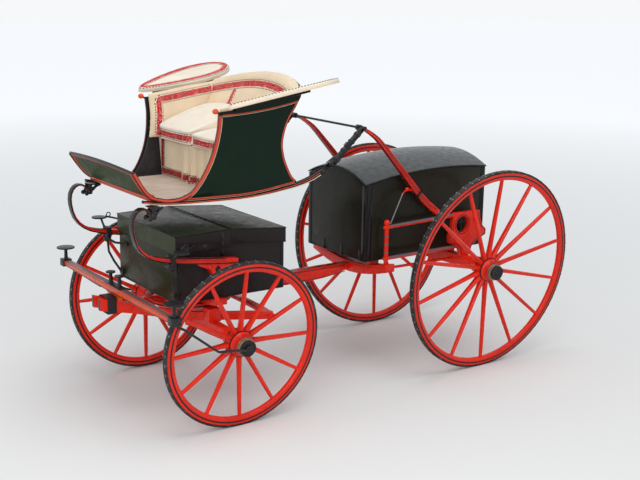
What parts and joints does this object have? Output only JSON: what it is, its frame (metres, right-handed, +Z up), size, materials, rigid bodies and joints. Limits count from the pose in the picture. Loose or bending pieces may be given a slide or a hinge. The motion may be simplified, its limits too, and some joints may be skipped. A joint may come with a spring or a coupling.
{
  "type": "high flyer phaeton",
  "caption": "Light two-seat horse carriage: high-hung body on elbow and whip springs, perch, steering fore-carriage, front box, rear trunk and wooden spoked wheels.",
  "frame": {"origin": "middle of the whole carriage's box, on the ground under the wheels", "axes": "+X towards the horses, +Y to the carriage's left, +Z up"},
  "size_m": [3.38, 1.7, 2.1099],
  "materials": {
    "red": "glossy vermilion coach paint with black lines",
    "red_iron": "glossy vermilion coach paint",
    "orange_red": "glossy orange-red coach paint with a dark line",
    "black_iron": "black enamel",
    "tyre": "worn black",
    "hub": "turned and dull",
    "dark_box": "dark olive-black coach paint",
    "body_green": "very dark green gloss coach paint",
    "cloth": "cream box cloth with red lace",
    "leather": "black harness leather"
  },
  "bodies": {
    "gear": {"perch": "red", "rear_bed": "red", "rear_axle": "red", "rear_frame_left": "red_iron", "rear_frame_right": "red_iron", "upper_bolster": "red", "front_box": "dark_box", "elbow_spring_left": "red_iron", "elbow_spring_right": "red_iron", "step_iron_left": "black_iron", "step_iron_right": "black_iron", "body_loop_left": "black_iron", "body_loop_right": "black_iron", "whip_spring_left": "red_iron", "whip_spring_right": "red_iron", "cross_stay": "black_iron", "brace_left": "leather", "brace_right": "leather", "trunk": "dark_box", "sill_left": "black_iron", "sill_right": "black_iron", "body_side_left": "body_green", "body_side_right": "body_green", "floor_board": "body_green", "dash": "body_green", "back_panel": "body_green", "seat_frame": "body_green", "seat_fall": "cloth", "squab": "cloth", "side_lining_left": "cloth", "side_lining_right": "cloth", "wing_left": "cloth", "wing_right": "cloth", "driver_cushion": "cloth", "passenger_cushion": "cloth"},
    "fore_carriage": {"front_axle": "red", "futchells": "red", "lower_turntable": "black_iron", "splinter_bar": "orange_red", "roller_bolts": "black_iron", "pole_strap": "leather", "outrigger_left": "black_iron", "outrigger_right": "black_iron"},
    "front_left_wheel_set": {"front_left_wheel": "red", "front_left_tyre": "tyre", "front_left_hub_cap": "hub"},
    "front_right_wheel_set": {"front_right_wheel": "red", "front_right_tyre": "tyre", "front_right_hub_cap": "hub"},
    "rear_left_wheel_set": {"rear_left_wheel": "red", "rear_left_tyre": "tyre", "rear_left_hub_cap": "hub"},
    "rear_right_wheel_set": {"rear_right_wheel": "red", "rear_right_tyre": "tyre", "rear_right_hub_cap": "hub"},
    "front_lid": {"box_lid_front": "dark_box"},
    "rear_lid": {"box_lid_rear": "dark_box"},
    "vaulted_lid": {"trunk_lid": "dark_box"},
    "drop_front": {"trunk_door": "dark_box"}
  },
  "joints": [
    {"name": "steering", "type": "hinge", "parent": "gear", "child": "fore_carriage", "pos_m": [1.05, 0, 0.58126], "axis": [0, 0, 1], "range_deg": [-18, 18]},
    {"name": "front_left_spin", "type": "hinge", "parent": "fore_carriage", "child": "front_left_wheel_set", "pos_m": [1.05, 0.6925, 0.52926], "axis": [0, 0.9954, -0.0958], "continuous": true},
    {"name": "front_right_spin", "type": "hinge", "parent": "fore_carriage", "child": "front_right_wheel_set", "pos_m": [1.05, -0.6925, 0.52926], "axis": [0, 0.9954, 0.0958], "continuous": true},
    {"name": "rear_left_spin", "type": "hinge", "parent": "gear", "child": "rear_left_wheel_set", "pos_m": [-0.97, 0.6925, 0.71641], "axis": [0, 0.9954, -0.0958], "continuous": true},
    {"name": "rear_right_spin", "type": "hinge", "parent": "gear", "child": "rear_right_wheel_set", "pos_m": [-0.97, -0.6925, 0.71641], "axis": [0, 0.9954, 0.0958], "continuous": true},
    {"name": "front_lid_hinge", "type": "hinge", "parent": "gear", "child": "front_lid", "pos_m": [0.97, 0, 1.184], "axis": [0, -1, 0], "range_deg": [0, 24]},
    {"name": "rear_lid_hinge", "type": "hinge", "parent": "gear", "child": "rear_lid", "pos_m": [0.97, 0, 1.184], "axis": [0, 1, 0], "range_deg": [0, 24]},
    {"name": "trunk_lid_hinge", "type": "hinge", "parent": "gear", "child": "vaulted_lid", "pos_m": [-1.204, 0, 1.385], "axis": [0, -1, 0], "range_deg": [0, 80]},
    {"name": "drop_front_hinge", "type": "hinge", "parent": "gear", "child": "drop_front", "pos_m": [-0.1207, 0, 0.81], "axis": [0, 1, 0], "range_deg": [0, 90]}
  ]
}
